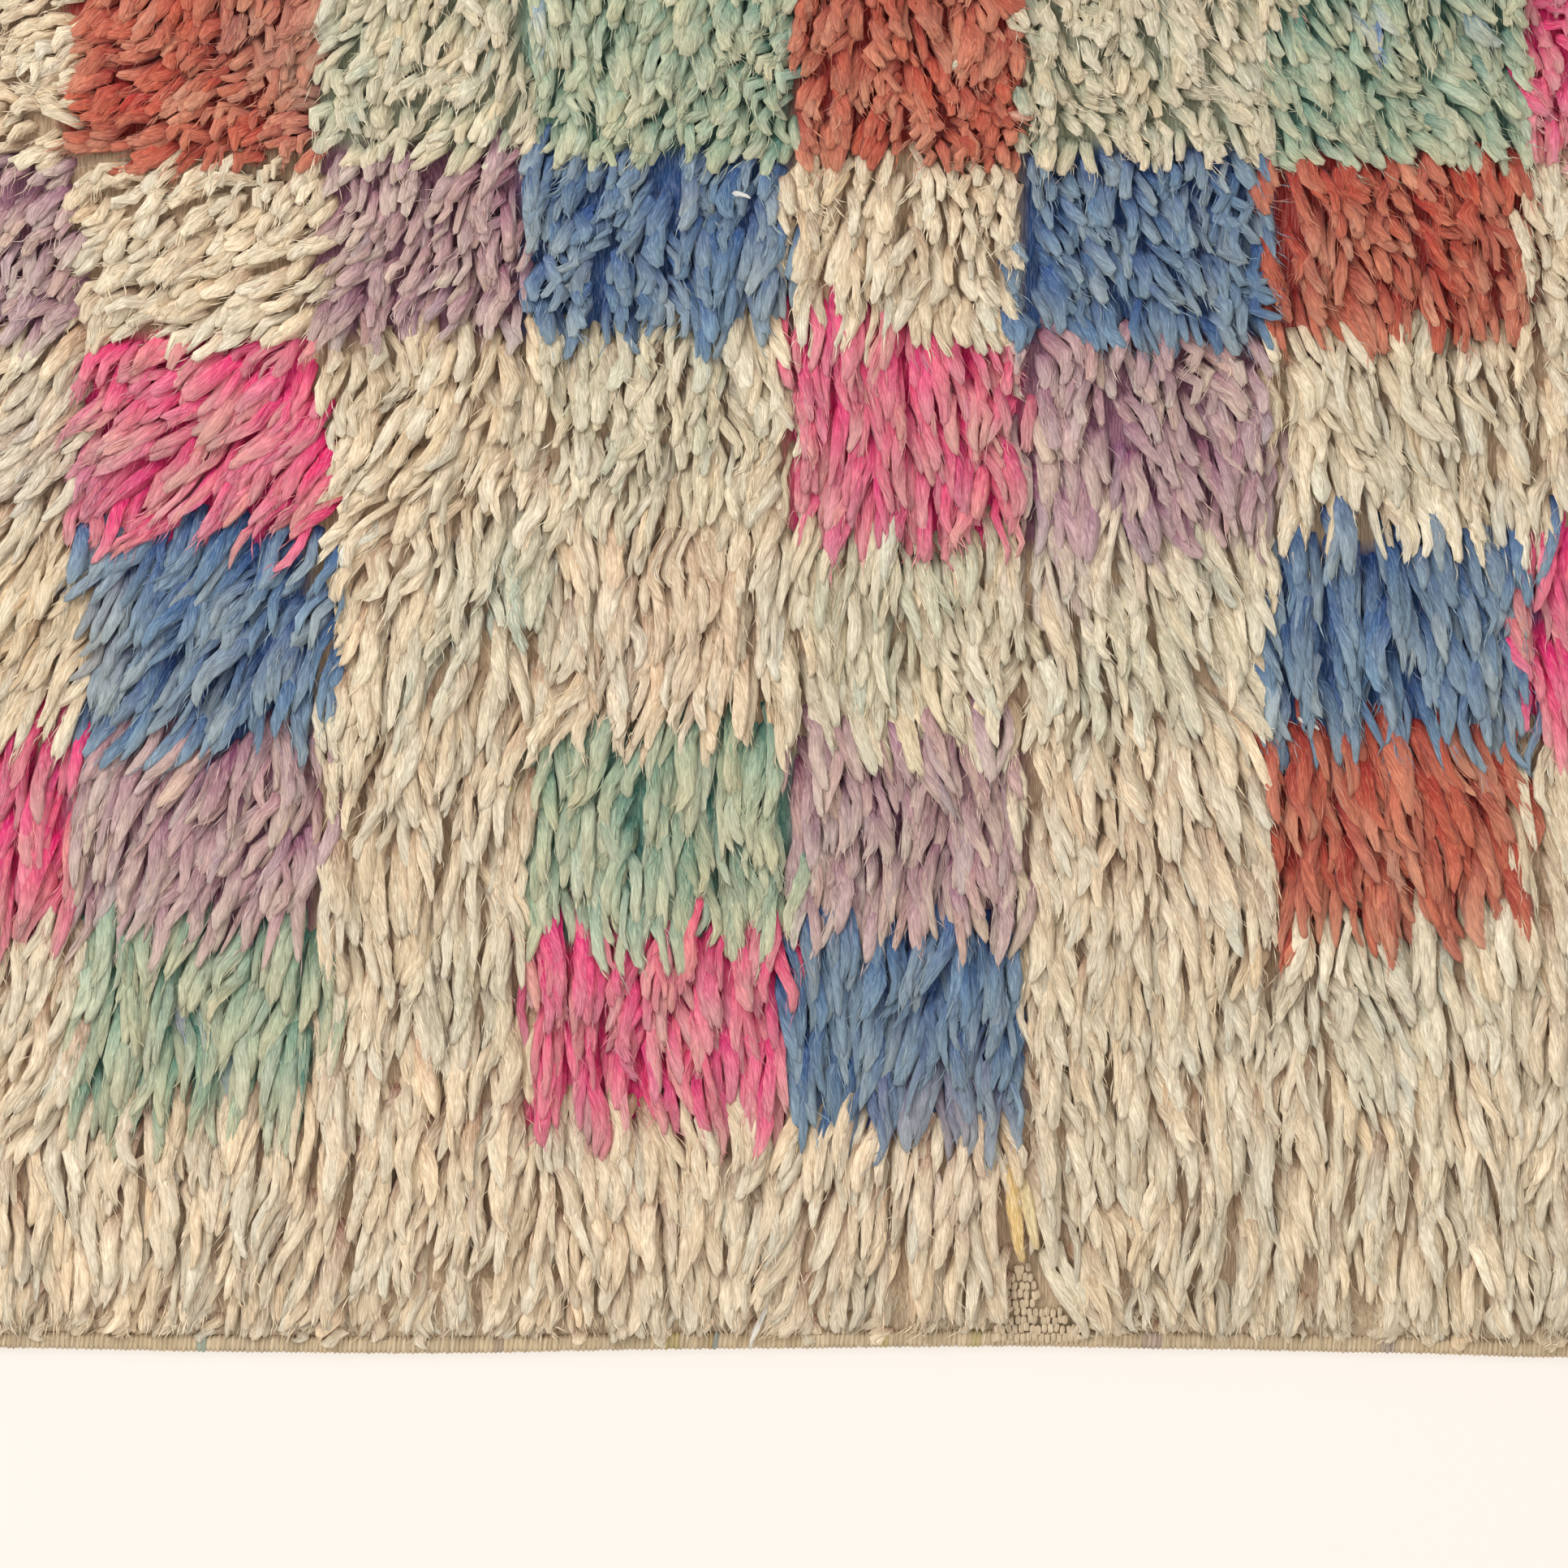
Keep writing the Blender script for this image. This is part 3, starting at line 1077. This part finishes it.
def paint(piece, colours):
    rgba = np.ones((len(colours), 4), np.float32)
    rgba[:, :3] = colours
    piece.data.attributes.new("yarnColour", "FLOAT_COLOR", "POINT").data.foreach_set("color", rgba.ravel())


def addGround():
    cuts = (ground["acrossCuts"], ground["alongCuts"])
    piece, points = layer("woven_ground", cuts, ground["inset"], 0.0002, ground["thickness"])
    paint(piece, np.tile(linearColour("bfae8c"), (len(points), 1)))
    piece.data.materials.append(groundMaterial())
    return piece


groundPiece = addGround()
print("ground woven")

# The bed: wool packed round the strands' feet, in its deepest and least faded colour
bed = {
    "cuts": (100, 90),
    "inset": 0.0088,
    "share": 0.38,
    "lumps": 0.0020,
    "rootShare": 0.52,
    "light": 0.92,
}


def addBed():
    low = ground["thickness"] + 0.0004
    piece, points = layer("pile_bed", bed["cuts"], bed["inset"], low, 0.001)
    upper = points[:, 2] > low + 0.0005
    x, y = points[upper, 0], points[upper, 1]
    top = low + (pileTop(x, y) - low) * bed["share"] + bed["lumps"] * noiseAt(x, y, 0.006, 12)
    rim = smoothStep((insideBy(x, y) - bed["inset"]) / 0.035)
    top = low + 0.0008 + (top - low) * rim
    top[insideSpots(x, y, 1.7)] = low + 0.0010
    points[upper, 2] = top
    piece.data.vertices.foreach_set("co", points.ravel().astype(np.float32))
    names = dyeOf(points[:, 0], points[:, 1] - 0.010)
    root = np.array([linearColour(dyes[name]["root"]) for name in names])
    body = np.array([linearColour(dyes[name]["body"]) for name in names])
    deep = smoothStep((insideBy(points[:, 0], points[:, 1]) - bed["inset"]) / 0.030)[:, None]
    colours = (body + (root - body) * bed["rootShare"] * (0.3 + 0.7 * deep)) * bed["light"]
    paint(piece, np.where(insideSpots(points[:, 0], points[:, 1])[:, None], linearColour("c0aa88"), colours))
    places = np.stack([points[:, 0] * 250, points[:, 2] * 250, points[:, 1] * 100], axis=1)
    marks = piece.data.attributes.new("yarnPlace", "FLOAT_VECTOR", "POINT")
    marks.data.foreach_set("vector", places.ravel().astype(np.float32))
    for face in piece.data.polygons:
        face.use_smooth = True
    settings = dict(woolSettings, wind=0.0, paleShare=0.15)
    piece.data.materials.append(woolMaterial("bed_wool", "efe7d8", settings))
    return piece


pilePieces.append(addBed())
print("bed packed")


# Knots that show where the pile is worn away
def addKnots():
    starts, ends, widths = [], [], []
    for row in range(9):
        py = 1648 - row * 10.5
        reach = [60, 56, 44, 30, 22, 24, 22, 18, 14][row]
        pitch = 7.4
        middle = 1280 if row < 4 else 1262
        for i in range(int(2 * reach / pitch)):
            px = middle - reach + (i + 0.5) * pitch + draw.normal(0, 0.7)
            x, y = fromPhoto(px, py + draw.normal(0, 1.0))
            height = 0.0074 - 0.0001 * row + draw.normal(0, 0.0002)
            starts.append((x, y + 0.0021, height - 0.0022))
            ends.append((x + draw.normal(0, 0.0004), y - 0.0021, height - 0.0022))
            widths.append(pitch * photo["metresPerPixel"] * draw.uniform(0.95, 1.15))
    starts = np.array(starts)
    ends = np.array(ends)
    number = len(starts)
    lift = np.array([0.0, 0.0, 0.0016])
    curves = np.stack([starts, starts * 0.7 + ends * 0.3 + lift, starts * 0.3 + ends * 0.7 + lift, ends], axis=1)
    knots = {"curve": curves, "length": 0.005, "width": np.array(widths), "rough": 0.05,
             "seed": draw.uniform(0, 500, number)}
    group = copyMaster(masters["knot"], knots)
    colour = linearColour("dcc4a2") * draw.uniform(0.88, 1.08, (number, 1))
    group["colours"] = np.repeat(colour[:, None, :], group["points"].shape[1], axis=1)
    piece = joinedMesh("worn_knots", [group])
    piece.data.materials.append(woolMaterial("worn_knot_wool", "efe7d8", woolSettings))
    return piece


pilePieces.append(addKnots())
print("worn knots tied")

# The overcast edge: yarn wrapped round the border, one disc of yarn to a wrap
overcast = {
    "pitch": 0.0024,
    "width": 0.0092,
    "height": 0.0066,
    "slant": 0.10,
    "sides": 6,
    "bulge": 1.22,
    "wool": ["d6be9a", "cfb692", "dac29f", "d2b996"],
    # odd yarns by eye, as pixel along the front, how many wraps and colour
    "odd": [(820, 3, "c2ae78"), (1083, 2, "c4b07c"), (1195, 2, "c8b47e"), (880, 1, "a0a498"),
            (872, 1, "b79a6c"), (1410, 4, "b7a08e"), (240, 2, "acb5a0"), (610, 2, "bda48c"),
            (1700, 3, "bda998")],
}


def modelWrap():
    bpy.ops.object.select_all(action="DESELECT")
    bpy.ops.mesh.primitive_cylinder_add(
        vertices=overcast["sides"], radius=0.5, depth=1, end_fill_type="NGON", rotation=(0, 0, math.pi / 6)
    )
    wrap = bpy.context.object
    bpy.ops.object.transform_apply(location=True, rotation=True, scale=True)
    bpy.ops.object.mode_set(mode="EDIT")
    bpy.ops.mesh.select_all(action="SELECT")
    bpy.ops.mesh.bisect(plane_co=(0, 0, 0), plane_no=(0, 0, 1))
    selectWhere(wrap, lambda co: abs(co.z) < 0.01)
    bpy.ops.transform.resize(value=(overcast["bulge"], overcast["bulge"], 1), center_override=(0, 0, 0))
    bpy.ops.object.mode_set(mode="OBJECT")
    master = readMaster(wrap)
    master["points"][:, 2] += 0.5
    return master


def addOvercast(side, master):
    places, outer = outlines[side]
    alongAxis = 0 if side in ("front", "back") else 1
    inward = 1.0 if side in ("front", "left") else -1.0
    count = int((places[-1] - places[0]) / overcast["pitch"])
    pitch = (places[-1] - places[0]) / count
    along = places[0] + (np.arange(count) + 0.5) * pitch
    middle = np.interp(along, places, outer) + inward * overcast["width"] / 2
    local = master["points"]
    lean = overcast["slant"] + draw.normal(0, 0.03, count)
    thick = 1 / overcast["bulge"] * draw.uniform(0.95, 1.05, count)[:, None]
    inwards = local[None, :, 0] * overcast["width"] * thick
    upwards = local[None, :, 1] * overcast["height"] * thick
    lengthways = (local[None, :, 2] - 0.5) * pitch * 1.02 + inwards * lean[:, None]
    points = np.empty((count, len(local), 3))
    points[..., alongAxis] = np.clip(along[:, None] + lengthways, places[0], places[-1])
    points[..., 1 - alongAxis] = middle[:, None] + inward * inwards
    points[..., 2] = np.maximum(upwards + overcast["height"] / 2, 0.0)
    angle = np.arctan2(local[:, 1], local[:, 0])
    marks = np.empty(points.shape)
    marks[..., 0] = local[None, :, 2] * 1.2
    marks[..., 1] = draw.uniform(0, 500, count)[:, None]
    marks[..., 2] = angle[None, :] * 0.35
    palette = np.array([linearColour(text) for text in overcast["wool"]])
    colours = palette[draw.integers(0, len(palette), count)]
    drift = noiseAt(along, np.zeros(count), 0.05, 9)[:, None]
    colours = colours * (1 + drift * np.array([0.10, 0.08, 0.04])) * draw.uniform(0.93, 1.06, (count, 1))
    if side == "front":
        for px, number, text in overcast["odd"]:
            first = np.searchsorted(along, fromPhoto(px, 0)[0])
            colours[first:first + number] = linearColour(text)
    valley = np.where(np.abs(local[:, 2] - 0.5) > 0.4, 0.72, 1.0)
    group = {"master": master, "points": points, "marks": marks}
    group["colours"] = colours[:, None, :] * valley[None, :, None]
    return joinedMesh("overcast_" + side, [group])


wrapMaster = modelWrap()
wrapSettings = dict(woolSettings, wind=0.0, paleShare=0.30, bump=0.5)
edgePieces = []
for side in sides:
    piece = addOvercast(side, wrapMaster)
    piece.data.materials.append(woolMaterial(piece.name + "_wool", "d8ccb0", wrapSettings))
    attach(piece, "root")
    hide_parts("edge_" + side)
    edgePieces.append(piece)
print("edge overcast")

for piece in [groundPiece, *pilePieces]:
    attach(piece, "root")
    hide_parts("knotted_pile")

# Studio: pale floor, a soft light from the upper left and an even fill
studio = {
    "floor": "fef5ec",
    "floorGlow": 0.78,
    "keyPlace": (-1.6, 1.3, 2.2),
    "keySize": 1.6,
    "keyPower": 46.0,
    "fill": 0.90,
    "fillColour": (1.0, 0.985, 0.965, 1.0),
}


def addStudio():
    bpy.ops.object.select_all(action="DESELECT")
    bpy.ops.mesh.primitive_plane_add(size=30, location=(0, 0, -0.0006))
    floor = bpy.context.object
    floor.name = "paleFloor"
    material = bpy.data.materials.new("pale_floor")
    material.use_nodes = True
    shader = material.node_tree.nodes["Principled BSDF"]
    colour = linearColour(studio["floor"])
    shader.inputs["Base Color"].default_value = (*(colour * (1 - studio["floorGlow"])), 1)
    shader.inputs["Roughness"].default_value = 1.0
    shader.inputs["Specular IOR Level"].default_value = 0.0
    shader.inputs["Emission Color"].default_value = (*colour, 1)
    shader.inputs["Emission Strength"].default_value = studio["floorGlow"]
    floor.data.materials.append(material)
    bpy.ops.object.light_add(type="AREA", location=studio["keyPlace"])
    key = bpy.context.object
    key.name = "softKey"
    key.data.shape = "DISK"
    key.data.size = studio["keySize"]
    key.data.energy = studio["keyPower"]
    key.rotation_euler = (-Vector(studio["keyPlace"])).to_track_quat("-Z", "Y").to_euler()
    world = bpy.data.worlds.new("evenFill")
    world.use_nodes = True
    world.node_tree.nodes["Background"].inputs["Color"].default_value = studio["fillColour"]
    world.node_tree.nodes["Background"].inputs["Strength"].default_value = studio["fill"]
    bpy.context.scene.world = world


addStudio()
print("studio lit")

allPieces = [groundPiece, *pilePieces, *edgePieces]
triangles = {piece.name: sum(len(face.vertices) - 2 for face in piece.data.polygons) for piece in allPieces}
print("triangles:", triangles, "in all", sum(triangles.values()))
